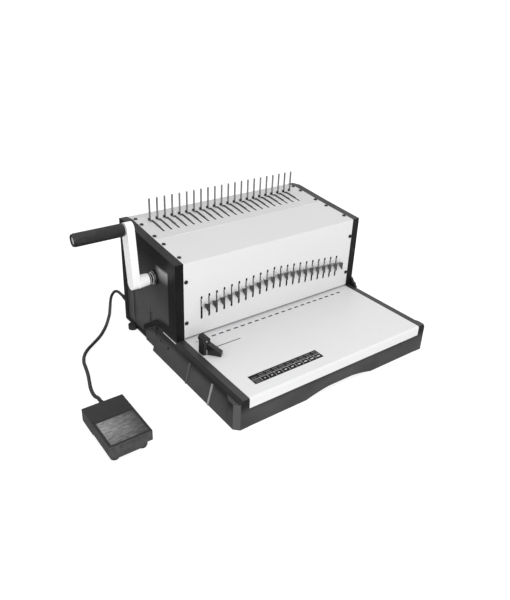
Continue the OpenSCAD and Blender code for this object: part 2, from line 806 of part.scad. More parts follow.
module power_inlet() {
    color([0.05, 0.05, 0.05]) difference() {
        union() {
            box([119, base_back_y - 22, 45], [147, base_back_y, 65]);
            box([115, base_back_y, 42], [151, base_back_y + 1.5, 68]);
        }
        box([122, base_back_y - 16, 48], [144, base_back_y + 2, 62]);
    }
}

module switch_bezel() {
    color([0.05, 0.05, 0.05]) difference() {
        union() {
            box([84.5, base_back_y - 16, 44.5], [103.5, base_back_y, 67.5]);
            box([82, base_back_y, 42], [106, base_back_y + 1.5, 70]);
        }
        box([87, base_back_y - 12, 47], [101, base_back_y + 2, 65]);
    }
}

// Rocker that pivots about a line along X; its face is a shallow V
module power_switch() {
    color([0.5, 0.04, 0.04]) {
        yz_plate(87.5, 100.5) polygon([
            [base_back_y - 6, 48.6], [base_back_y - 6, 63.4], [base_back_y + 1, 63.4],
            [base_back_y + 1.4, 62.4], [base_back_y, 56], [base_back_y + 1.4, 49.6],
            [base_back_y + 1, 48.6]]);
        x_cyl(87.1, 100.9, base_back_y - 5, 56, 2, $fn = fine);
    }
}

board_z = 42;
board_t = 1.6;
module control_board() {
    deck_z = drawer_top_z + 6;
    color([0.1, 0.35, 0.15]) {
        box([-70, 105, board_z], [50, 150, board_z + board_t]);
        // Spacers
        for (x = [-64, 44], y = [110, 145])
            translate([x, y, deck_z]) cylinder(r = 3, h = board_z - deck_z, $fn = fine);
        // Transformer, capacitor and relay
        box([-55, 112, board_z + board_t], [-15, 142, 68]);
        translate([10, 125, board_z + board_t]) cylinder(r = 9, h = 25);
        box([28, 112, board_z + board_t], [42, 140, 55]);
    }
}

module chip_drawer() {
    color([0.08, 0.08, 0.08]) difference() {
        union() {
            box([-drawer_x, drawer_front_y, drawer_z], [drawer_x, base_back_y, drawer_top_z]);
            box([-drawer_x, base_back_y - 2, drawer_z], [drawer_x, base_back_y + 1.5, drawer_top_z]);
        }
        box([-drawer_x + 2, drawer_front_y + 2, drawer_z + 2],
            [drawer_x - 2, base_back_y - 2, drawer_top_z + cut]);
        // Finger scoop in the drawer's back wall
        y_cyl(0, base_back_y - 5, base_back_y + 3, drawer_top_z + 6, 16);
    }
}

// ---- edge guide ----

module edge_guide() {
    color([0.07, 0.07, 0.07]) {
        round_block([guide_x - 7, guide_y - 9, tray_z + 0.2], [guide_x + 6, guide_y + 6, tray_z + 24.5], 3);
        y_cyl(guide_x - 0.5, guide_y - 9, guide_y + 6, tray_z + 24.5, 6.5);
        // Sloping foot towards the front
        translate([guide_x + 1, guide_y - 3, tray_z + 0.2]) rotate([0, 0, -50])
            translate([0, 5, 0]) rotate([90, 0, 0]) linear_extrude(height = 10)
                polygon([[0, 0], [26, 0], [26, 6], [22, 8], [3, 20], [0, 20]]);
    }
}

module guide_clamp() {
    under_z = tray_z - sheet - 0.3;
    color([0.5, 0.5, 0.5]) {
        box([guide_x - 2, guide_line_y - 1.2, under_z], [guide_x + 2, guide_line_y + 1.2, tray_z + 0.2]);
        box([guide_x - 7, guide_line_y - 5, under_z - 2], [guide_x + 7, guide_line_y + 5, under_z]);
    }
}

// ---- pedal and cord ----

// One ring of the cord's tube around point k of the route
cord_sides = 10;
last = len(cord_route) - 1;
function unit(v) = v / norm(v);
function along(k) = unit(cord_route[min(k + 1, last)] - cord_route[max(k - 1, 0)]);
function side_way(t) = unit(abs(t[2]) > 0.95 ? cross(t, [1, 0, 0]) : cross(t, [0, 0, 1]));
function ring(k) =
    let (t = along(k), u = side_way(t), v = cross(u, t))
    [for (s = [0:cord_sides - 1])
        cord_route[k] + cord_r * (cos(s * 360 / cord_sides) * u + sin(s * 360 / cord_sides) * v)];
module pedal_cord() {
    points = [for (k = [0:last]) for (p = ring(k)) p];
    walls = [for (k = [0:last - 1]) for (s = [0:cord_sides - 1])
        let (a = k * cord_sides + s, b = k * cord_sides + (s + 1) % cord_sides)
        [b, a, a + cord_sides, b + cord_sides]];
    color([0.05, 0.05, 0.05]) polyhedron(
        points = points,
        faces = concat(walls, [[for (s = [0:cord_sides - 1]) s]],
            [[for (s = [cord_sides - 1:-1:0]) last * cord_sides + s]]));
}

module cord_gland() {
    wall_y = base_back_y + 1.5;
    color([0.05, 0.05, 0.05]) {
        y_cyl(gland_x, wall_y - 4, wall_y, gland_z, 4);
        y_cyl(gland_x, wall_y, wall_y + 3, gland_z, 6.5);
        translate([gland_x, wall_y + 3, gland_z]) rotate([-90, 0, 0])
            cylinder(r1 = 5, r2 = 3.4, h = gland_end_y - wall_y - 3);
    }
}

module pedal_relief() {
    color([0.05, 0.05, 0.05]) {
        y_cyl(relief_x, pedal_back_y - 3, pedal_back_y, relief_z, 3.8);
        translate([relief_x, pedal_back_y, relief_z]) rotate([-90, 0, 0])
            cylinder(r1 = 4.6, r2 = 3.4, h = relief_end_y - pedal_back_y);
    }
}

pedal_in = 3.5;
module pedal_base() {
    x0 = pedal_x - pedal_w / 2 + pedal_in;
    x1 = pedal_x + pedal_w / 2 - pedal_in;
    color([0.07, 0.07, 0.07]) {
        round_block([x0, pedal_front_y + 5, 3], [x1, pedal_back_y - 1, pedal_base_top - 0.2], 6);
        // Hinge ears
        for (x = [x0 + 3, x1 - 6]) difference() {
            union() {
                box([x, hinge_y - 4, pedal_base_top - 1], [x + 3, hinge_y + 4, hinge_z]);
                x_cyl(x, x + 3, hinge_y, hinge_z, 4);
            }
            x_cyl(x - cut, x + 3 + cut, hinge_y, hinge_z, hinge_r);
        }
    }
}

module pedal_housing() {
    x0 = pedal_x - pedal_w / 2;
    x1 = pedal_x + pedal_w / 2;
    color([0.06, 0.06, 0.06]) difference() {
        box([x0, pedal_split_y, pedal_base_top], [x1, pedal_back_y, pedal_top]);
        box([x0 + 2.5, pedal_split_y - cut, pedal_base_top - cut],
            [x1 - 2.5, pedal_back_y - 2.5, pedal_top - 2.5]);
        y_cyl(relief_x, pedal_back_y - 4, pedal_back_y + cut, relief_z, 3.9);
    }
}

module pedal_treadle() {
    x0 = pedal_x - pedal_w / 2;
    x1 = pedal_x + pedal_w / 2;
    color([0.08, 0.08, 0.08]) difference() {
        union() {
            difference() {
                box([x0, pedal_front_y, 14], [x1, pedal_split_y - 1, pedal_top]);
                box([x0 + 2.2, pedal_front_y + 2.5, 12], [x1 - 2.2, pedal_split_y, pedal_top - 3]);
            }
            // Hinge lugs under the top
            for (x = [x0 + 14, x1 - 18]) {
                box([x, hinge_y - 4, hinge_z], [x + 4, hinge_y + 4, pedal_top - 2]);
                x_cyl(x, x + 4, hinge_y, hinge_z, 4);
            }
        }
        x_cyl(x0 + 5, x1 - 5, hinge_y, hinge_z, hinge_r + run);
    }
}

module tread_pad() {
    x0 = pedal_x - pedal_w / 2 + 4;
    x1 = pedal_x + pedal_w / 2 - 4;
    color([0.2, 0.2, 0.2]) box([x0, pedal_front_y + 3, pedal_top], [x1, pedal_split_y - 4, pedal_top + 1]);
}

module treadle_pin() {
    color([0.7, 0.7, 0.71])
        x_cyl(pedal_x - pedal_w / 2 + 6, pedal_x + pedal_w / 2 - 6, hinge_y, hinge_z, hinge_r);
}

module pedal_spring() {
    color([0.6, 0.6, 0.6]) coil(pedal_x, -124, pedal_base_top - 0.2, pedal_top - 3, 5, 0.6, 7);
}

module pedal_switch() {
    color([0.1, 0.1, 0.1]) {
        box([pedal_x - 10, -84, pedal_base_top - 0.2], [pedal_x + 10, -66, 20]);
        box([pedal_x - 12, -84, pedal_base_top - 0.2], [pedal_x + 12, -66, 12]);
    }
}

module pedal_feet() {
    color([0.04, 0.04, 0.04])
        for (x = [pedal_x - 20, pedal_x + 20], y = [pedal_front_y + 12, pedal_back_y - 12])
            translate([x, y, 0]) cylinder(r = 6, h = 3);
}

base_left_rail();
base_right_rail();
base_front_panel();
bottom_plate();
chassis_shelf();
back_panel();
paper_tray();
size_chart();
hole_marks();
rubber_feet();
left_side_cover();
right_side_cover();
front_cover();
rear_cover();
cover_screws();
left_frame_plate();
right_frame_plate();
tie_bars();
pin_bar();
comb_pins();
hook_carriage();
carriage_racks();
comb_hooks();
crank_shaft();
crank_pinions();
shaft_bushes();
shaft_bracket();
crank_collar();
crank_arm();
grip_bolt();
crank_grip();
die_block();
guide_rods();
punch_beam();
punch_pins();
punch_pulls();
return_springs();
cam_shaft();
drive_cams();
drive_gear();
drive_motor();
motor_pinion();
power_inlet();
switch_bezel();
power_switch();
control_board();
chip_drawer();
edge_guide();
guide_clamp();
cord_gland();
pedal_cord();
pedal_relief();
pedal_base();
pedal_housing();
pedal_treadle();
tread_pad();
treadle_pin();
pedal_spring();
pedal_switch();
pedal_feet();
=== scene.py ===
"""Finish of a comb binding machine: camera, studio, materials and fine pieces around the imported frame.

Every position is in the part's own frame: +X right, +Y back, +Z up. Lengths in the helpers below are
in millimetres, and mesh_piece() turns them into metres.
"""
import math

import bpy
from mathutils import Matrix, Vector


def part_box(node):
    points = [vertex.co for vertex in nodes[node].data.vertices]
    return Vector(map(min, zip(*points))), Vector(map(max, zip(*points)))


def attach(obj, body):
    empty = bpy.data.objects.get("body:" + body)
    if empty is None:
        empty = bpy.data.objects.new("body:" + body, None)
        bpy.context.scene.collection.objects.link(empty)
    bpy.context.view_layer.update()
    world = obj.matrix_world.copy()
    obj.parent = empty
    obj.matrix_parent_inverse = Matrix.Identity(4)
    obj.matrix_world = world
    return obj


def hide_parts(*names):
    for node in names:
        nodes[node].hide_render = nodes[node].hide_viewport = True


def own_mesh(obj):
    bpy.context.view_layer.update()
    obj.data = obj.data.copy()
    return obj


MM = 0.001
PITCH = 14.2875
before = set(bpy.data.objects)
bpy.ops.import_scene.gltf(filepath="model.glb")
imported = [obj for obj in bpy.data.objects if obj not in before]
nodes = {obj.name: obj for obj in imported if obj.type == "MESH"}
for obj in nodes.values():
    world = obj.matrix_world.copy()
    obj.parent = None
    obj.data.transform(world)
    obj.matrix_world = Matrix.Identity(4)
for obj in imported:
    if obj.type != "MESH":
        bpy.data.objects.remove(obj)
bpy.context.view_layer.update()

# ---- camera ----

CAMERA_AT = Vector((-0.5718, -0.6939, 0.5601))
CAMERA_AZIMUTH = -35.77
CAMERA_ELEVATION = 27.66
CAMERA_ROLL = 1.63
CAMERA_LENS = 35.71
CAMERA_SHIFT = (0.0298, -0.0203)


def make_camera():
    a = math.radians(CAMERA_AZIMUTH)
    e = math.radians(CAMERA_ELEVATION)
    forward = Vector((-math.sin(a) * math.cos(e), math.cos(a) * math.cos(e), -math.sin(e)))
    right = forward.cross(Vector((0, 0, 1))).normalized()
    up = right.cross(forward)
    level = Matrix((right, up, -forward)).transposed()
    tilt = Matrix.Rotation(math.radians(CAMERA_ROLL), 3, "Z")
    data = bpy.data.cameras.new("camera")
    data.lens = CAMERA_LENS
    data.sensor_width = 36.0
    data.sensor_fit = "AUTO"
    data.shift_x, data.shift_y = CAMERA_SHIFT
    camera = bpy.data.objects.new("camera", data)
    camera.matrix_world = Matrix.Translation(CAMERA_AT) @ (level @ tilt).to_4x4()
    bpy.context.scene.collection.objects.link(camera)
    bpy.context.scene.camera = camera


make_camera()

# ---- materials ----


class Recipe:
    """A material's node tree, with short names for the nodes that the recipes below use."""

    def __init__(self, name, color, roughness, metallic=0.0, specular=0.5):
        self.material = bpy.data.materials.new(name)
        self.material.use_nodes = True
        self.tree = self.material.node_tree
        self.shader = self.tree.nodes["Principled BSDF"]
        self.shader.inputs["Base Color"].default_value = (*color, 1)
        self.shader.inputs["Roughness"].default_value = roughness
        self.shader.inputs["Metallic"].default_value = metallic
        self.shader.inputs["Specular IOR Level"].default_value = specular
        self.place = self.tree.nodes.new("ShaderNodeTexCoord").outputs["Object"]
        self.normal = None

    def add(self, kind, **values):
        node = self.tree.nodes.new(kind)
        for key, value in values.items():
            if key in node.inputs:
                node.inputs[key].default_value = value
            else:
                setattr(node, key, value)
        return node

    def link(self, a, b):
        self.tree.links.new(a, b)

    def mapped(self, scale=(1, 1, 1), at=(0, 0, 0)):
        """Object coordinates moved so that `at` (in metres) is the origin, then scaled."""
        mapping = self.add("ShaderNodeMapping")
        mapping.inputs["Location"].default_value = tuple(-p * s for p, s in zip(at, scale))
        mapping.inputs["Scale"].default_value = scale
        self.link(self.place, mapping.inputs["Vector"])
        return mapping.outputs["Vector"]

    def noise(self, scale, detail=4.0, stretch=(1, 1, 1)):
        node = self.add("ShaderNodeTexNoise", Scale=scale, Detail=detail)
        self.link(self.mapped(stretch), node.inputs["Vector"])
        return node.outputs["Fac"]

    def axis(self, name, at=(0, 0, 0), scale=(1, 1, 1)):
        node = self.add("ShaderNodeSeparateXYZ")
        self.link(self.mapped(scale, at), node.inputs["Vector"])
        return node.outputs[name]

    def distance(self, at, scale=(1, 1, 1)):
        node = self.add("ShaderNodeVectorMath", operation="LENGTH")
        self.link(self.mapped(scale, at), node.inputs[0])
        return node.outputs["Value"]

    def ramp(self, value, stops):
        node = self.add("ShaderNodeValToRGB")
        band = node.color_ramp
        while len(band.elements) < len(stops):
            band.elements.new(0.5)
        for element, (at, tone) in zip(band.elements, stops):
            element.position = at
            element.color = (*tone, 1) if hasattr(tone, "__len__") else (tone, tone, tone, 1)
        self.link(value, node.inputs["Fac"])
        return node.outputs["Color"]

    def span(self, value, low, high, to_low=0.0, to_high=1.0):
        node = self.add("ShaderNodeMapRange")
        node.inputs["From Min"].default_value = low
        node.inputs["From Max"].default_value = high
        node.inputs["To Min"].default_value = to_low
        node.inputs["To Max"].default_value = to_high
        self.link(value, node.inputs["Value"])
        return node.outputs["Result"]

    def mix(self, amount, a, b, blend="MIX"):
        node = self.tree.nodes.new("ShaderNodeMix")
        node.data_type = "RGBA"
        node.blend_type = blend
        for socket, value in ((node.inputs[0], amount), (node.inputs[6], a), (node.inputs[7], b)):
            if isinstance(value, bpy.types.NodeSocket):
                self.link(value, socket)
            elif hasattr(value, "__len__"):
                socket.default_value = (*value, 1)
            else:
                socket.default_value = value
        return node.outputs[2]

    def both(self, *masks):
        """The product of several masks."""
        product = masks[0]
        for mask in masks[1:]:
            product = self.mix(1.0, product, mask, "MULTIPLY")
        return product

    def facing(self, direction):
        """Cosine of the angle between the surface's normal and `direction`."""
        node = self.add("ShaderNodeVectorMath", operation="DOT_PRODUCT")
        self.link(self.add("ShaderNodeNewGeometry").outputs["Normal"], node.inputs[0])
        node.inputs[1].default_value = direction
        return node.outputs["Value"]

    def coat(self, tone):
        """Faintly cloudy white of a powder coat."""
        return self.ramp(self.noise(6.0, 3.0), [(0.3, (tone * 0.975, tone * 0.975, tone * 0.985)),
                                                (0.7, (tone, tone, tone * 1.005))])

    def cloud(self, tone):
        """Cloudy black of a moulding."""
        return self.ramp(self.noise(14.0, 5.0), [(0.25, tone * 0.7), (0.75, tone * 1.4)])

    def color(self, output):
        self.link(output, self.shader.inputs["Base Color"])

    def roughness(self, value, low, high):
        self.link(self.span(value, 0.3, 0.7, low, high), self.shader.inputs["Roughness"])

    def bump(self, height, strength, distance):
        node = self.add("ShaderNodeBump", Strength=strength, Distance=distance)
        self.link(height, node.inputs["Height"])
        if self.normal:
            self.link(self.normal, node.inputs["Normal"])
        self.normal = node.outputs["Normal"]
        self.link(self.normal, self.shader.inputs["Normal"])


# Noise scales, per metre, and depth in metres of the fine relief
ORANGE_PEEL = 700.0
MOULD_GRAIN = 1100.0
RELIEF = 0.0003
UP = (0, 0, 1)


def powder_coat(name, tone, roughness=0.42):
    """White powder coat: faint cloudy tone and fine orange peel."""
    r = Recipe(name, (tone, tone, tone), roughness, specular=0.4)
    r.color(r.coat(tone))
    r.roughness(r.noise(30.0, 3.0), roughness - 0.05, roughness + 0.07)
    r.bump(r.noise(ORANGE_PEEL, 2.0), 0.1, RELIEF)
    return r.material


def cover_coat_painted_shade(name, tone, outward):
    """Powder coat on the faces that look outward, with painted shade: a little darker on top, and near black
    on the inside faces and cut edges.
    """
    r = Recipe(name, (tone, tone, tone), 0.42, specular=0.4)
    # Painted shade: faces that look up are darkened a little
    coat = r.mix(r.span(r.facing(UP), 0.3, 0.9, 0.0, 0.08), r.coat(tone), (0, 0, 0))
    # Painted shade: faces that do not look outward, the inside and the cut edges, are near black
    r.color(r.mix(r.span(r.facing(outward), 0.3, 0.5), (0.01, 0.01, 0.01), coat))
    r.roughness(r.noise(30.0, 3.0), 0.37, 0.49)
    r.bump(r.noise(ORANGE_PEEL, 2.0), 0.1, RELIEF)
    return r.material


def moulding(name, tone, roughness, grain=0.25, specular=0.3):
    """Black moulded plastic: sparked grain, cloudy sheen and faint scuffs."""
    r = Recipe(name, (tone, tone, tone), roughness, specular=specular)
    scuffs = r.ramp(r.noise(45.0, 8.0, (1, 0.15, 1)), [(0.62, 0.0), (0.78, tone * 1.5)])
    r.color(r.mix(1.0, r.cloud(tone), scuffs, "ADD"))
    r.roughness(r.noise(22.0, 6.0), roughness - 0.07, roughness + 0.12)
    r.bump(r.noise(MOULD_GRAIN, 2.0), grain, RELIEF)
    return r.material


# Foot and top of the base's band of painted light, and its ribs with painted highlights as (place along Y,
# tone), in metres
PAINTED_LIGHT_Z = (0.026, 0.038)
RIB_TOP_Z = 0.036
RIBS = [(-0.108, 0.28), (-0.045, 0.09)]


def base_moulding(name):
    """The base's moulding with painted light and shade: dark high on the walls, lighter towards its foot and
    on top, and painted highlights on the front corner's slant and on the ribs.
    """
    r = Recipe(name, (0.02, 0.02, 0.02), 0.36, specular=0.3)
    shaded_upper_tone = r.ramp(r.noise(14.0, 5.0), [(0.25, 0.008), (0.75, 0.018)])
    painted_light_low = r.ramp(r.noise(20.0, 6.0), [(0.25, 0.038), (0.75, 0.062)])
    # Painted light: the walls lighten towards their foot and stay dark higher up as painted shade
    tone = r.mix(r.span(r.axis("Z"), PAINTED_LIGHT_Z[1], PAINTED_LIGHT_Z[0]), shaded_upper_tone, painted_light_low)
    # Painted light: faces that look up are lighter
    tone = r.mix(r.span(r.facing(UP), 0.7, 0.9), tone, (0.034, 0.034, 0.034))
    # Painted highlight on the front corner's slant
    slant = r.facing((-0.7, -0.7, 0))
    tone = r.mix(r.span(slant, 0.86, 0.96), tone, (0.07, 0.07, 0.07))
    # Painted highlights on the ribs
    for y, pale in RIBS:
        rib = r.span(r.distance((0, y, 0), (0, 1, 0)), 0.0014, 0.001)
        low = r.span(r.axis("Z"), RIB_TOP_Z + 0.0005, RIB_TOP_Z - 0.0005)
        tone = r.mix(r.both(rib, low), tone, (pale, pale, pale))
    r.color(tone)
    r.roughness(r.noise(22.0, 6.0), 0.3, 0.48)
    r.bump(r.noise(MOULD_GRAIN, 2.0), 0.25, RELIEF)
    return r.material


def pedal_plastic(name):
    """The pedal's moulding, toned by which way each face looks as painted light: near black on top, greyer on
    the sides, and pale painted highlights along the edges.
    """
    r = Recipe(name, (0.01, 0.01, 0.01), 0.42, specular=0.35)
    # Painted light by facing: pale painted highlights on the slanted edge faces, greyer sides, near black top
    tone = r.ramp(r.facing(UP), [(0.0, 0.05), (0.2, 0.05), (0.5, 0.17), (0.8, 0.03), (0.97, 0.007)])
    grain = r.ramp(r.noise(180.0, 6.0), [(0.3, 0.75), (0.7, 1.25)])
    r.color(r.both(tone, grain))
    r.roughness(r.noise(22.0, 6.0), 0.36, 0.52)
    r.bump(r.noise(MOULD_GRAIN, 2.0), 0.25, RELIEF)
    return r.material


# Spans in metres over which masks of the left cover go from 0 to 1
RECESS_X, RECESS_Y = (-0.1882, -0.1874), (0.016, 0.019)
# Z span of the painted light low on the recessed face, then the spans that place a painted highlight beside
# the hub
COVER_PAINTED_LIGHT_Z = (0.165, 0.075)
HUB_HIGHLIGHT_LOW_Z, HUB_HIGHLIGHT_TOP_Z, HUB_HIGHLIGHT_BACK_Y = (0.133, 0.153), (0.159, 0.154), (0.064, 0.05)


def crank_side_moulding(name, tone, roughness):
    """The left cover's moulding: the recessed face is lighter low down as painted light, with a pale painted
    highlight beside the hub.
    """
    r = Recipe(name, (tone, tone, tone), roughness, specular=0.16)
    recessed = r.both(r.span(r.axis("X"), *RECESS_X), r.span(r.axis("Y"), *RECESS_Y))
    painted_light_low = r.ramp(r.noise(20.0, 6.0), [(0.25, 0.05), (0.75, 0.072)])
    # Painted light: the recessed face lightens low down
    cover = r.mix(r.both(r.span(r.axis("Z"), *COVER_PAINTED_LIGHT_Z), recessed), r.cloud(tone), painted_light_low)
    # Painted highlight beside the hub
    hub_highlight = r.both(r.span(r.axis("Z"), *HUB_HIGHLIGHT_LOW_Z), r.span(r.axis("Z"), *HUB_HIGHLIGHT_TOP_Z),
                    r.span(r.axis("Y"), *HUB_HIGHLIGHT_BACK_Y), recessed)
    pale = r.ramp(r.noise(60.0, 5.0, (1, 1, 3)), [(0.3, 0.22), (0.7, 0.34)])
    r.color(r.mix(hub_highlight, cover, pale))
    r.roughness(r.noise(22.0, 6.0), roughness - 0.05, roughness + 0.1)
    r.bump(r.noise(MOULD_GRAIN, 2.0), 0.2, RELIEF)
    return r.material


def steel(name, tone, roughness, stretch=(1, 1, 0.1), lines=900.0):
    """Ground or plated steel with fine lines along one axis."""
    r = Recipe(name, (tone, tone, tone), roughness, 1.0)
    r.color(r.ramp(r.noise(150.0, 4.0, stretch), [(0.3, tone * 0.75), (0.7, min(1.0, tone * 1.15))]))
    r.roughness(r.noise(200.0, 4.0, stretch), roughness - 0.06, roughness + 0.12)
    r.bump(r.noise(lines, 2.0, stretch), 0.15, 0.0002)
    return r.material


def pull_steel(name):
    """Plated strips with painted shade on the fins beside each slot, darkest on the left."""
    r = Recipe(name, (0.5, 0.5, 0.5), 0.3, 1.0)
    step = r.add("ShaderNodeMath", operation="PINGPONG")
    r.link(r.axis("X"), step.inputs[0])
    step.inputs[1].default_value = PITCH * MM / 2
    # Painted shade on the fin beside each slot, darker towards the left
    fin = r.span(step.outputs["Value"], 0.0011, 0.0022)
    fin_shade = r.mix(r.span(r.axis("X"), -0.12, 0.14), (0.17, 0.17, 0.175), (0.34, 0.34, 0.345))
    base = r.mix(fin, (0.8, 0.8, 0.8), fin_shade)
    grain = r.ramp(r.noise(260.0, 4.0), [(0.3, 0.8), (0.7, 1.1)])
    r.color(r.both(base, grain))
    r.roughness(r.noise(200.0, 4.0), 0.22, 0.38)
    r.bump(r.noise(900.0, 2.0), 0.12, 0.0002)
    return r.material


def rubber(name, tone, specular=0.25):
    r = Recipe(name, (tone, tone, tone), 0.75, specular=specular)
    r.color(r.ramp(r.noise(60.0, 5.0), [(0.3, tone * 0.7), (0.75, tone * 1.7)]))
    r.bump(r.noise(1500.0, 3.0), 0.4, 0.0004)
    return r.material


def tread_rubber(name):
    """Tread rubber: grey streaks along the ribs, with a painted highlight towards the left front that fades
    across the pad.
    """
    r = Recipe(name, (0.1, 0.1, 0.1), 0.6, specular=0.3)
    streaks = r.ramp(r.noise(300.0, 8.0, (0.4, 1, 1)), [(0.3, 0.07), (0.5, 0.11), (0.72, 0.17)])
    # Painted highlight towards the tread's left front, darker across the rest of the pad
    left_front_highlight = r.span(r.distance((-0.36, -0.108, 0.03)), 0.055, 0.005, 0.35, 1.8)
    r.color(r.both(streaks, left_front_highlight))
    r.roughness(r.noise(120.0, 5.0, (0.2, 1, 1)), 0.45, 0.75)
    r.bump(r.noise(900.0, 4.0, (0.15, 1, 1)), 0.4, 0.0004)
    return r.material


def plain(name, color, roughness, metallic=0.0, specular=0.4):
    r = Recipe(name, color, roughness, metallic, specular)
    r.color(r.ramp(r.noise(50.0, 4.0), [(0.3, tuple(c * 0.85 for c in color)), (0.7, color)]))
    r.bump(r.noise(800.0, 2.0), 0.1, 0.0003)
    return r.material


WHITE = 0.61
MATERIALS = {
    "front_cover_coat": cover_coat_painted_shade("front_cover_coat", WHITE, (0, -0.7, 0.7)),
    # The rear cover's tone, lower than the front cover's, is painted shade on the same white coat
    "rear_cover_coat": cover_coat_painted_shade("rear_cover_coat", 0.56, (0, 0.6, 0.8)),
    "white_coat": powder_coat("white_coat", WHITE),
    "tray_coat": powder_coat("tray_coat", 0.62, 0.38),
    "crank_enamel": powder_coat("crank_enamel", 0.82, 0.25),
    "black_moulding": moulding("black_moulding", 0.012, 0.34),
    "base_moulding": base_moulding("base_moulding"),
    "left_cover_moulding": crank_side_moulding("left_cover_moulding", 0.006, 0.3),
    "pedal_moulding": pedal_plastic("pedal_moulding"),
    "black_plastic": moulding("black_plastic", 0.008, 0.28, 0.15, 0.4),
    "pale_rib_plastic": plain("pale_rib_plastic", (0.11, 0.11, 0.11), 0.4),
    "grip_plastic": moulding("grip_plastic", 0.01, 0.38, 0.3, 0.4),
    "black_rubber": rubber("black_rubber", 0.015),
    "tread_rubber": tread_rubber("tread_rubber"),
    "cord_jacket": plain("cord_jacket", (0.012, 0.012, 0.012), 0.45),
    "pin_steel": steel("pin_steel", 0.36, 0.3),
    "hook_steel": steel("hook_steel", 0.14, 0.4, (1, 0.1, 1)),
    "pull_steel": pull_steel("pull_steel"),
    "plated_steel": steel("plated_steel", 0.5, 0.38, (0.1, 1, 1)),
    # Near black for the parts behind the slots: painted shade inside the machine
    "inner_shade_black": plain("inner_shade_black", (0.01, 0.01, 0.01), 0.6, specular=0.15),
    "shaft_steel": steel("shaft_steel", 0.6, 0.25, (1, 1, 1)),
    # Pale grey of the strips that are painted highlights
    "highlight_white": plain("highlight_white", (0.68, 0.68, 0.68), 0.5, specular=0.2),
    "bolt_zinc": plain("bolt_zinc", (0.6, 0.6, 0.6), 0.35, 0.4),
    "black_oxide": steel("black_oxide", 0.06, 0.35, (1, 1, 1)),
    "bronze": plain("bronze", (0.45, 0.28, 0.12), 0.45, 1.0),
    "ink": plain("ink", (0.005, 0.005, 0.005), 0.5, specular=0.15),
    "grey_ink": plain("grey_ink", (0.1, 0.1, 0.1), 0.5),
    "pale_ink": plain("pale_ink", (0.5, 0.5, 0.5), 0.5),
    "switch_red": plain("switch_red", (0.4, 0.01, 0.01), 0.3),
    "board_green": plain("board_green", (0.02, 0.16, 0.05), 0.45),
}

FINISH = {
    "front_cover_coat": ["front_cover"],
    "rear_cover_coat": ["rear_cover"],
    "white_coat": ["back_panel"],
    "tray_coat": ["paper_tray"],
    "crank_enamel": ["crank_arm"],
    "left_cover_moulding": ["left_side_cover"],
    "black_moulding": ["right_side_cover", "chip_drawer"],
    "base_moulding": ["base_left_rail", "base_right_rail", "base_front_panel"],
    "pedal_moulding": ["pedal_base", "pedal_housing", "pedal_treadle"],
    "black_plastic": ["power_inlet", "switch_bezel", "edge_guide", "pedal_switch", "crank_collar"],
    "black_rubber": ["rubber_feet", "pedal_feet"],
    "pin_steel": ["comb_pins"],
    "hook_steel": ["comb_hooks"],
    "pull_steel": ["punch_pulls"],
    # The parts behind the slots are near black as painted shade inside the machine
    "inner_shade_black": ["hook_carriage", "punch_beam", "carriage_racks", "pin_bar", "die_block"],
    "plated_steel": ["bottom_plate", "chassis_shelf", "left_frame_plate", "right_frame_plate", "tie_bars",
                     "shaft_bracket", "guide_clamp"],
    "shaft_steel": ["crank_shaft", "crank_pinions", "guide_rods", "return_springs", "cam_shaft",
                    "drive_cams", "drive_gear", "motor_pinion", "treadle_pin", "pedal_spring", "punch_pins"],
    "bolt_zinc": ["grip_bolt"],
    "bronze": ["shaft_bushes"],
    "black_oxide": ["drive_motor"],
    "ink": ["hole_marks"],
    "switch_red": ["power_switch"],
    "board_green": ["control_board"],
}


def finish_nodes():
    for material, names in FINISH.items():
        for name in names:
            slots = nodes[name].data.materials
            slots.clear()
            slots.append(MATERIALS[material])


# Width of the rounded edges of the CAD nodes that show, in millimetres
EDGES = {
    "left_side_cover": 3.0, "right_side_cover": 3.0, "base_left_rail": 2.0, "base_right_rail": 2.0,
    "base_front_panel": 0.8, "front_cover": 0.4, "rear_cover": 0.4, "paper_tray": 0.4, "back_panel": 0.3,
    "crank_arm": 1.6, "edge_guide": 0.8, "pedal_base": 0.8, "pedal_housing": 1.2, "pedal_treadle": 1.2,
    "rubber_feet": 0.8, "pedal_feet": 0.6, "punch_pulls": 0.3, "comb_hooks": 0.25, "power_inlet": 0.5,
    "switch_bezel": 0.5, "power_switch": 0.4, "chip_drawer": 0.6, "crank_collar": 0.5, "grip_bolt": 0.5,
}


def round_edges():
    for name, width in EDGES.items():
        bevel = nodes[name].modifiers.new("edges", "BEVEL")
        bevel.width = width * MM
        bevel.segments = 3
        bevel.limit_method = "ANGLE"
        bevel.angle_limit = math.radians(35)
        bevel.use_clamp_overlap = True
        nodes[name].modifiers.new("normals", "WEIGHTED_NORMAL")


finish_nodes()
round_edges()

# ---- shapes: each is (points in millimetres, faces) ----


def joined(shapes):
    points, faces = [], []
    for shape_points, shape_faces in shapes:
        start = len(points)
        points.extend(shape_points)
        faces.extend(tuple(start + i for i in face) for face in shape_faces)
    return points, faces


def moved(shape, matrix):
    points, faces = shape
    return [matrix @ Vector(p) for p in points], faces


def aimed(at, axis, spin=0.0):
    """Takes a shape made along +Z from the origin to a place and direction."""
    turn = Vector(axis).to_track_quat("Z", "Y").to_matrix().to_4x4()
    return Matrix.Translation(Vector(at)) @ turn @ Matrix.Rotation(spin, 4, "Z")


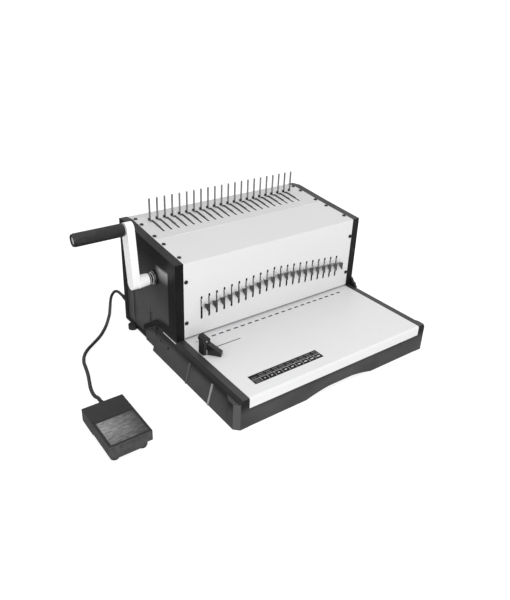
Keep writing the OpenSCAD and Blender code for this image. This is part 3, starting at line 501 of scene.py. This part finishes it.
def lathe(profile, steps=48, radius=lambda r, angle: r):
    """Turns (radius, height) pairs about Z; a radius of 0 closes an end."""
    points, faces, rings = [], [], []
    for r, z in profile:
        if r == 0:
            rings.append([len(points)])
            points.append(Vector((0, 0, z)))
            continue
        rings.append(list(range(len(points), len(points) + steps)))
        for k in range(steps):
            a = 2 * math.pi * k / steps
            points.append(Vector((radius(r, a) * math.cos(a), radius(r, a) * math.sin(a), z)))
    for low, high in zip(rings, rings[1:]):
        for k in range(steps):
            n = (k + 1) % steps
            corners = [low[k % len(low)], low[n % len(low)], high[n % len(high)], high[k % len(high)]]
            faces.append(tuple(dict.fromkeys(corners)))
    return points, faces


def block(lo, hi):
    x, y, z = zip(lo, hi)
    points = [Vector((x[i], y[j], z[k])) for i in (0, 1) for j in (0, 1) for k in (0, 1)]
    return points, [(0, 1, 3, 2), (4, 6, 7, 5), (0, 4, 5, 1), (2, 3, 7, 6), (0, 2, 6, 4), (1, 5, 7, 3)]


def relief(nx, ny, width, depth, height, skirt):
    """A panel whose top follows height(x, y), with walls down to -skirt."""
    points, faces = [], []
    for j in range(ny + 1):
        for i in range(nx + 1):
            x, y = width * (i / nx - 0.5), depth * (j / ny - 0.5)
            points.append(Vector((x, y, height(x, y))))
    row = nx + 1
    for j in range(ny):
        for i in range(nx):
            a = j * row + i
            faces.append((a, a + 1, a + row + 1, a + row))
    rim = list(range(0, row)) + [j * row + nx for j in range(1, ny + 1)]
    rim += [ny * row + i for i in range(nx - 1, -1, -1)] + [j * row for j in range(ny - 1, 0, -1)]
    start = len(points)
    points.extend(Vector((points[i].x, points[i].y, -skirt)) for i in rim)
    count = len(rim)
    for k in range(count):
        n = (k + 1) % count
        faces.append((rim[n], rim[k], start + k, start + n))
    faces.append(tuple(start + k for k in range(count))[::-1])
    return points, faces


def pan_head(radius, height, rings=12, steps=48):
    """A pan head screw with a cross recess, standing on z = 0."""
    def top(r, a):
        dome = height * (1 - 0.35 * (r / radius) ** 4)
        x, y = abs(r * math.cos(a)), abs(r * math.sin(a))
        arm, reach = 0.16 * radius, 0.62 * radius
        cut_x = min(1.0, max(0.0, (reach - x) / 0.3)) * min(1.0, max(0.0, (arm - y) / 0.2 + 0.5))
        cut_y = min(1.0, max(0.0, (reach - y) / 0.3)) * min(1.0, max(0.0, (arm - x) / 0.2 + 0.5))
        return dome - 0.55 * height * max(cut_x, cut_y)
    points, faces = [Vector((0, 0, top(0, 0)))], []
    for ring in range(1, rings + 1):
        r = radius * ring / rings
        for k in range(steps):
            a = 2 * math.pi * k / steps
            points.append(Vector((r * math.cos(a), r * math.sin(a), top(r, a))))
    for z in (0.25 * height, 0):
        points.extend(Vector((radius * math.cos(2 * math.pi * k / steps),
                              radius * math.sin(2 * math.pi * k / steps), z)) for k in range(steps))
    for k in range(steps):
        n = (k + 1) % steps
        faces.append((0, 1 + k, 1 + n))
        for ring in range(rings + 1):
            a, b = 1 + ring * steps, 1 + (ring + 1) * steps
            faces.append((a + k, b + k, b + n, a + n))
    faces.append(tuple(1 + (rings + 1) * steps + k for k in range(steps))[::-1])
    return points, faces


def solids(node):
    """The separate solids of a CAD node, as (lowest corner, highest corner) pairs in millimetres."""
    mesh = nodes[node].data
    group = list(range(len(mesh.vertices)))

    def root(i):
        while group[i] != i:
            group[i] = group[group[i]]
            i = group[i]
        return i

    seen = {}
    for vertex in mesh.vertices:
        key = tuple(round(c * 1e6) for c in vertex.co)
        group[root(vertex.index)] = root(seen.setdefault(key, vertex.index))
    for edge in mesh.edges:
        group[root(edge.vertices[0])] = root(edge.vertices[1])
    members = {}
    for vertex in mesh.vertices:
        members.setdefault(root(vertex.index), []).append(vertex.co / MM)
    boxes = []
    for corners in members.values():
        lo = Vector(min(c[k] for c in corners) for k in range(3))
        hi = Vector(max(c[k] for c in corners) for k in range(3))
        boxes.append((lo, hi))
    return sorted(boxes, key=lambda b: (b[0].x, b[0].y, b[0].z))


def mesh_piece(name, shape, material, body, replaces=(), bevel=0.0, flat=30):
    """Makes one piece from a shape in millimetres, and lets it ride on its body."""
    points, faces = shape
    mesh = bpy.data.meshes.new(name)
    mesh.from_pydata([Vector(p) * MM for p in points], [], faces)
    mesh.materials.append(MATERIALS[material])
    mesh.validate()
    mesh.shade_smooth()
    mesh.set_sharp_from_angle(angle=math.radians(flat))
    piece = bpy.data.objects.new(name, mesh)
    bpy.context.scene.collection.objects.link(piece)
    if bevel:
        modifier = piece.modifiers.new("edges", "BEVEL")
        modifier.width = bevel * MM
        modifier.segments = 2
        modifier.limit_method = "ANGLE"
        modifier.angle_limit = math.radians(35)
    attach(piece, body)
    if replaces:
        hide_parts(*replaces)
    return piece


# ---- cord and its sleeves ----

# The same route as in the part's source, in millimetres
CORD_ROUTE = [
    (-181, 204, 34), (-181, 216, 34), (-181, 228, 33), (-181.5, 239, 29), (-183, 247, 22),
    (-186, 250, 13.5), (-190, 246, 6.5), (-195, 237, 3.3), (-201, 225, 3), (-208, 211, 3),
    (-217, 196, 3), (-228, 179, 3), (-241, 162, 3), (-256, 146, 3), (-272, 133, 3),
    (-287, 121, 3), (-299, 107, 3), (-307, 90, 3), (-311, 72, 3), (-315, 54, 3),
    (-320, 37, 3), (-325, 20, 3), (-328, 4, 4.5), (-329.5, -10, 8.5), (-330, -23, 14),
    (-330, -33, 14)]
CORD_RADIUS = 2.75


def ribbed_sleeve(start, end, ribs):
    """Profile of a tapered strain relief with grooves, as (radius, height) pairs from z = 0."""
    (r0, z0), (r1, z1) = start, end
    profile = []
    steps = ribs * 6
    for k in range(steps + 1):
        t = k / steps
        groove = 0.45 * max(0.0, math.sin(2 * math.pi * ribs * t)) ** 0.5 if 0 < k < steps else 0.0
        profile.append((r0 + (r1 - r0) * t - groove, z0 + (z1 - z0) * t))
    return profile


def make_sleeves():
    low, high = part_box("cord_gland")
    wall_y, end_y = low.y / MM, high.y / MM
    x, z = CORD_ROUTE[0][0], CORD_ROUTE[0][2]
    profile = [(0, 0), (4, 0), (4, 4), (6.1, 4), (6.5, 4.4), (6.5, 6.6), (6.1, 7), (4.9, 7)]
    profile += ribbed_sleeve((4.9, 7.2), (3.4, end_y - wall_y), 5) + [(0, end_y - wall_y)]
    gland = mesh_piece("gland_sleeve", moved(lathe(profile), aimed((x, wall_y, z), (0, 1, 0))),
                       "black_rubber", "root", ["cord_gland"])
    low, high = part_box("pedal_relief")
    start_y, end_y = low.y / MM, high.y / MM
    x, z = CORD_ROUTE[-1][0], CORD_ROUTE[-1][2]
    profile = [(0, 0), (3.8, 0), (3.8, 3), (4.6, 3)]
    profile += ribbed_sleeve((4.6, 3.2), (3.4, end_y - start_y), 5) + [(0, end_y - start_y)]
    mesh_piece("pedal_sleeve", moved(lathe(profile), aimed((x, start_y, z), (0, 1, 0))),
               "black_rubber", "root", ["pedal_relief"])
    return gland


def make_cord(gland):
    curve = bpy.data.curves.new("cord", "CURVE")
    curve.dimensions = "3D"
    curve.bevel_depth = CORD_RADIUS * MM
    curve.bevel_resolution = 6
    curve.resolution_u = 8
    curve.use_fill_caps = True
    spline = curve.splines.new("BEZIER")
    spline.bezier_points.add(len(CORD_ROUTE) - 1)
    for point, place in zip(spline.bezier_points, CORD_ROUTE):
        point.co = Vector(place) * MM
        point.handle_left_type = "AUTO"
        point.handle_right_type = "AUTO"
    cord = bpy.data.objects.new("cord", curve)
    bpy.context.scene.collection.objects.link(cord)
    curve.materials.append(MATERIALS["cord_jacket"])
    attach(cord, "root")
    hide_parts("pedal_cord")


make_cord(make_sleeves())

# ---- fine pieces ----

SCREW_R, SCREW_H = 3.2, 1.8
CREASE_Y, CREASE_Z = 80, 189.5
FRONT_SLOPE, REAR_SLOPE = 7.5 / 85, 8.5 / 80


def make_cover_screws():
    heads = []
    for k, (lo, hi) in enumerate(solids("cover_screws")):
        middle = (lo + hi) / 2
        if hi.y - lo.y < 2.5:
            heads.append(moved(pan_head(SCREW_R, SCREW_H),
                               aimed((middle.x, hi.y, middle.z), (0, -1, 0), k * 0.7)))
            continue
        slope = FRONT_SLOPE if middle.y < CREASE_Y else REAR_SLOPE
        normal = Vector((0, -slope, 1)).normalized()
        foot = middle - normal * SCREW_H / 2
        heads.append(moved(pan_head(SCREW_R, SCREW_H), aimed(foot, normal, k * 0.7)))
    mesh_piece("cover_screw_heads", joined(heads), "black_oxide", "root", ["cover_screws"])


# Small screws: on the left rail (with the turn of the recess), the back panel (X, Z) and underneath (X, Y)
RAIL_SCREWS = [((-189.6, 47.5, 25.6), 0.3), ((-189.8, 21.3, 25), 1.1)]
RAIL_SCREW_AXIS = Vector((-0.98, 0, 0.2))
BACK_SCREWS = [(-166, 38), (-166, 105), (-166, 172), (0, 172), (166, 172), (166, 105), (166, 38), (0, 42)]
UNDER_SCREWS = [(-120, -165), (0, -165), (120, -165), (-120, 165), (120, 165), (-166, 0), (166, 0)]


def make_small_screws():
    """Screws of the left rail, the back panel and the bottom plate."""
    heads = [moved(pan_head(2.4, 1.1), aimed(at, RAIL_SCREW_AXIS, spin)) for at, spin in RAIL_SCREWS]
    back_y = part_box("back_panel")[1].y / MM
    for k, (x, z) in enumerate(BACK_SCREWS):
        heads.append(moved(pan_head(2.8, 0.9), aimed((x, back_y, z), (0, 1, 0), k * 0.5)))
    under_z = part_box("bottom_plate")[0].z / MM
    for k, (x, y) in enumerate(UNDER_SCREWS):
        heads.append(moved(pan_head(3, 1.4), aimed((x, y, under_z), (0, 0, -1), k * 0.6)))
    mesh_piece("small_screw_heads", joined(heads), "black_oxide", "root")


# Clips at the pins' feet: from and to along X beside the pin's middle, half depth, and height
CLIP_FROM, CLIP_TO, CLIP_HALF_D, CLIP_H = -3.2, -0.5, 1.6, 4.2


def make_pin_seats():
    """Dark clips at the feet of the comb pins, on the side away from the hooks."""
    seats = []
    for lo, hi in solids("comb_pins"):
        x, y = (lo.x + hi.x) / 2, (lo.y + hi.y) / 2
        plate_z = CREASE_Z + REAR_SLOPE * (y - CREASE_Y)
        seats.append(block((x + CLIP_FROM, y - CLIP_HALF_D, plate_z - 0.1),
                           (x + CLIP_TO, y + CLIP_HALF_D, plate_z + CLIP_H)))
    mesh_piece("pin_seats", joined(seats), "black_plastic", "root", bevel=0.4)


def make_chart():
    """A generic size chart: bars for words above, and a row of cells with marks of growing size."""
    (x0, y0, z0), (x1, y1, z1) = (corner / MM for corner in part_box("size_chart"))
    columns, header = 9, 14.0
    low, high = z1 - 0.06, z1
    half = (y1 - y0) / 2
    cell = (x1 - x0 - header) / columns
    mesh_piece("chart_plate", block((x0, y0, z0), (x1, y1, low)), "ink", "root",
               ["size_chart"])
    grey = [block((x0 + 2, y0 + half * bar - 0.7, low), (x0 + header - 2.5, y0 + half * bar + 0.7, high))
            for bar in (0.25, 0.5, 0.75, 1.35)]
    pale = [block((x0 + 0.8, y0 + half - 0.3, low), (x1 - 0.8, y0 + half + 0.3, high))]
    for k in range(columns):
        left = x0 + header + k * cell
        for bar, cut in ((0.28, 1.0 + k % 3 * 0.8), (0.66, 2.4 - k % 2)):
            y = y0 + half + half * bar
            grey.append(block((left + cut, y - 0.8, low), (left + cell - 1.2, y + 0.8, high)))
        pale.append(block((left - 0.3, y0 + 0.8, low), (left + 0.3, y0 + half, high)))
        wide, deep = 1.3 + 0.3 * k, 1.2
        mark = lathe([(0, 0), (1, 0), (1, 1), (0, 1)], 32)
        place = Matrix.Translation((left + cell / 2, y0 + half / 2, low))
        pale.append(moved(mark, place @ Matrix.Diagonal((wide, deep, high - low, 1))))
    mesh_piece("chart_bars", joined(grey), "grey_ink", "root")
    mesh_piece("chart_marks", joined(pale), "pale_ink", "root")


def make_grip():
    """Fluted grip sleeve with a recessed end."""
    low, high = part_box("crank_grip")
    x0, x1 = low.x / MM, high.x / MM
    y, z = (low.y + high.y) / 2 / MM, (low.z + high.z) / 2 / MM
    r = (high.z - low.z) / 2 / MM
    length = x1 - x0
    flutes = 44

    def fluted(radius, angle):
        return radius - (0.28 * (0.5 + 0.5 * math.cos(flutes * angle)) ** 2 if radius > r - 0.5 else 0.0)

    profile = [(4.1, 0), (4.1, length - 5.3), (7, length - 5.3), (7, length - 0.6), (7.5, length),
               (r - 1.2, length), (r - 0.7, length - 0.5), (r - 0.6, length - 2), (r, length - 2.8),
               (r, length * 0.66), (r, length * 0.33), (r, 2.2), (r - 0.6, 1.2), (r - 0.9, 0), (4.1, 0)]
    shape = moved(lathe(profile, flutes * 8, fluted), aimed((x1, y, z), (-1, 0, 0)))
    mesh_piece("grip_sleeve", shape, "grip_plastic", "grip", ["crank_grip"])


# Rings on the crank's neck, as (outer radius, distance from the collar's face, thickness)
NECK_R = 7.4
NECK_WASHERS = [(9.6, 2.2, 0.9), (9.0, 6.0, 0.8)]
NECK_SPACERS = [(8.8, 0.8, 1.4), (8.4, 3.1, 2.9), (8.7, 6.8, 1.6)]


def make_hub_rings():
    """Dark spacers and bright washers on the neck between the crank's hub and the side cover."""
    low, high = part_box("crank_collar")
    y, z = (low.y + high.y) / 2 / MM, (low.z + high.z) / 2 / MM
    face_x = low.x / MM

    def ring(inner, outer, away, thick):
        shape = lathe([(inner, 0), (inner, thick), (outer - 0.3, thick), (outer, thick - 0.3), (outer, 0),
                       (inner, 0)])
        return moved(shape, aimed((face_x - away, y, z), (-1, 0, 0)))

    mesh_piece("hub_washer", ring(6.6, 11.5, -0.35, 0.6), "shaft_steel", "root")
    mesh_piece("neck_washers", joined([ring(NECK_R, *size) for size in NECK_WASHERS]), "bolt_zinc", "crank")
    mesh_piece("neck_spacers", joined([ring(NECK_R, *size) for size in NECK_SPACERS]), "black_plastic",
               "crank")


def make_tread():
    """Ribbed rubber pad of the pedal."""
    (x0, y0, z0), (x1, y1, z1) = (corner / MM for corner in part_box("tread_pad"))
    height = z1 - z0

    def ribs(x, y):
        edge = min(1.0, ((x1 - x0) / 2 - abs(x)) / 0.6, ((y1 - y0) / 2 - abs(y)) / 0.6)
        return height * (0.35 + 0.4 * edge + 0.25 * edge * math.sin(2 * math.pi * y / 2.2))

    shape = relief(24, 180, x1 - x0, y1 - y0, ribs, 0)
    mesh_piece("tread", moved(shape, Matrix.Translation(((x0 + x1) / 2, (y0 + y1) / 2, z0))),
               "tread_rubber", "treadle", ["tread_pad"], flat=60)


def make_inlet_blades():
    """Earth and live blades inside the mains inlet."""
    low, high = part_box("power_inlet")
    x, z = (low.x + high.x) / 2 / MM, (low.z + high.z) / 2 / MM
    y0, y1 = high.y / MM - 17.5, high.y / MM - 3
    blades = [block((x + dx - 1, y0, z + dz - 2), (x + dx + 1, y1, z + dz + 2))
              for dx, dz in ((-7, -1.5), (0, 2), (7, -1.5))]
    mesh_piece("inlet_blades", joined(blades), "shaft_steel", "root", bevel=0.3)


# Middle and front face of the edge guide's post
POST_X, POST_FRONT_Y = -167.5, -59.0


def make_guide_details():
    """Rivet near the guide's top, and a pale steel strip at its foot as a painted highlight."""
    low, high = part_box("edge_guide")
    foot_z, top_z = low.z / MM, high.z / MM
    rivet = moved(lathe([(0, 0), (1.3, 0), (1.3, 0.3), (0.9, 0.7), (0, 0.8)], 24),
                  aimed((POST_X, POST_FRONT_Y, top_z - 7.5), (0, -1, 0)))
    # Pale steel strip at the post's foot: a painted highlight
    rib = block((POST_X - 0.9, POST_FRONT_Y - 0.7, foot_z + 1),
                (POST_X + 0.9, POST_FRONT_Y + 0.4, foot_z + 8.5))
    mesh_piece("guide_rivet", rivet, "plated_steel", "guide")
    mesh_piece("guide_highlight_strip", rib, "plated_steel", "guide", bevel=0.4)


# Outline of the ledge at the left rail's back end (Y, Z), and its inner and outer faces along X
LEDGE_OUTLINE = [(99, 19), (99, 23), (62, 47.5), (56, 47.5), (56, 43)]
LEDGE_X = (-189.2, -193.6)


def make_rail_ledge():
    """Short ledge that closes the rail's back end under the left cover."""
    count = len(LEDGE_OUTLINE)
    points = [Vector((x, y, z)) for x in LEDGE_X for y, z in LEDGE_OUTLINE]
    faces = [tuple(range(count)), tuple(range(2 * count - 1, count - 1, -1))]
    faces += [(k, k + count, (k + 1) % count + count, (k + 1) % count) for k in range(count)]
    mesh_piece("rail_ledge", (points, faces), "black_moulding", "root", bevel=0.8)


# Half the length, half the width and the rise of the pale strip along the crease, a painted highlight
STRIP_HALF_L, STRIP_HALF_W, STRIP_RISE = 173.5, 0.9, 0.25


def make_highlight_strips():
    """Pale strips that stand just proud, painted highlights: along the crease joint, and on the rail beside
    the left cover.
    """
    # Pale strip along the crease joint: a painted highlight
    crease = block((-STRIP_HALF_L, CREASE_Y - STRIP_HALF_W, CREASE_Z - 1),
                   (STRIP_HALF_L, CREASE_Y + STRIP_HALF_W, CREASE_Z + STRIP_RISE))
    # Pale strip on the black rail beside the left cover: a painted highlight
    beside_cover = block((-190.6, -4, 47.4), (-189.3, 36, 48.2))
    mesh_piece("crease_highlight_strip", crease, "highlight_white", "root", bevel=0.2)
    mesh_piece("rail_highlight_strip", beside_cover, "white_coat", "root", bevel=0.2)


# Upright ribs on the left cover's recessed face, as (from and to along Y, from and to along Z)
COVER_RIBS = [(148.6, 150.4, 8, 70), (89.2, 90.6, 34, 73)]
COVER_RIB_X = (-187.5, -186.8)


def make_cover_ribs():
    """Two thin upright ribs on the left cover's recessed face, in pale grey."""
    out_x, in_x = COVER_RIB_X
    ribs = [block((out_x, y0, z0), (in_x, y1, z1)) for y0, y1, z0, z1 in COVER_RIBS]
    mesh_piece("cover_ribs", joined(ribs), "pale_rib_plastic", "root", bevel=0.2)


def make_tray_details():
    """Locating dimple beside the guide's post."""
    top_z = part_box("paper_tray")[1].z / MM
    dimple = lathe([(0, -0.3), (1.4, -0.3), (1.4, 0.05), (1.0, 0.15), (0, 0.15)], 24)
    mesh_piece("tray_dimple", moved(dimple, Matrix.Translation((-161, -20, top_z))), "grey_ink", "root")


# Each spring, the joint that presses it, and the share of its height that is left at the joint's limit
SPRINGS = [("return_springs", "beam_press", 0.42), ("pedal_spring", "treadle_press", 0.79)]


def squash_springs():
    """Gives each spring its own copy of its mesh."""
    for name, joint, keep in SPRINGS:
        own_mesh(nodes[name])


squash_springs()
make_cover_screws()
make_small_screws()
make_pin_seats()
make_chart()
make_grip()
make_hub_rings()
make_tread()
make_inlet_blades()
make_guide_details()
make_rail_ledge()
make_highlight_strips()
make_cover_ribs()
make_tray_details()

# ---- stage ----


def make_stage():
    mesh = bpy.data.meshes.new("floor")
    size = 40.0
    mesh.from_pydata([(-size, -size, 0), (size, -size, 0), (size, size, 0), (-size, size, 0)], [],
                     [(0, 1, 2, 3)])
    floor = bpy.data.objects.new("floor", mesh)
    bpy.context.scene.collection.objects.link(floor)
    paper = Recipe("floor", (0.4, 0.4, 0.4), 0.9, specular=0.0)
    paper.shader.inputs["Emission Color"].default_value = (1, 1, 1, 1)
    paper.shader.inputs["Emission Strength"].default_value = 0.72
    mesh.materials.append(paper.material)
    # Black and metal pieces reflect the dim lower half of the studio in place of the white floor
    floor.visible_glossy = False


def area_light(name, place, target, size, power):
    data = bpy.data.lights.new(name, "AREA")
    data.shape = "RECTANGLE"
    data.size, data.size_y = size
    data.energy = power
    light = bpy.data.objects.new(name, data)
    light.location = place
    direction = Vector(target) - Vector(place)
    light.rotation_euler = direction.to_track_quat("-Z", "Y").to_euler()
    bpy.context.scene.collection.objects.link(light)


def make_light():
    """A bright ceiling over dim walls, with one large soft light low in front."""
    world = bpy.data.worlds.new("studio")
    bpy.context.scene.world = world
    world.use_nodes = True
    tree = world.node_tree
    direction = tree.nodes.new("ShaderNodeTexCoord")
    split = tree.nodes.new("ShaderNodeSeparateXYZ")
    tree.links.new(direction.outputs["Generated"], split.inputs["Vector"])
    height = tree.nodes.new("ShaderNodeMapRange")
    height.inputs["From Min"].default_value = -0.1
    height.inputs["From Max"].default_value = 0.6
    height.inputs["To Min"].default_value = 0.2
    height.inputs["To Max"].default_value = 1.2
    tree.links.new(split.outputs["Z"], height.inputs["Value"])
    background = tree.nodes["Background"]
    background.inputs["Color"].default_value = (1, 1, 1, 1)
    tree.links.new(height.outputs["Result"], background.inputs["Strength"])
    area_light("key", (-0.7, -1.9, 0.9), (0, 0, 0.1), (1.6, 1.0), 26)


make_stage()
make_light()
bpy.context.scene.view_settings.view_transform = "Standard"
